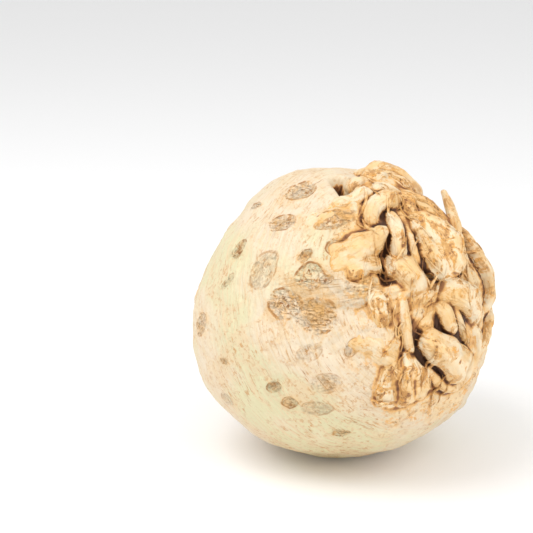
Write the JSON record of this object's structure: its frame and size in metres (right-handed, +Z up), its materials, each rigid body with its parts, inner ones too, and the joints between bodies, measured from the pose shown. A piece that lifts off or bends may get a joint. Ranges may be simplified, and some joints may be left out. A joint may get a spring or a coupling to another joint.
{
  "type": "celeriac root",
  "caption": "Whole celeriac root lying on its side, smooth pale skin and a knobbly trimmed root end.",
  "frame": {"origin": "centre of the bounding box's base, on the surface the root rests on", "axes": "+Z up; +X is the way the trimmed root end faces, tilted up from the surface"},
  "size_m": [0.1236, 0.1182, 0.115],
  "materials": {
    "celeriac_skin": "matte"
  },
  "bodies": {
    "root": {"celeriac": "celeriac_skin"}
  },
  "joints": []
}
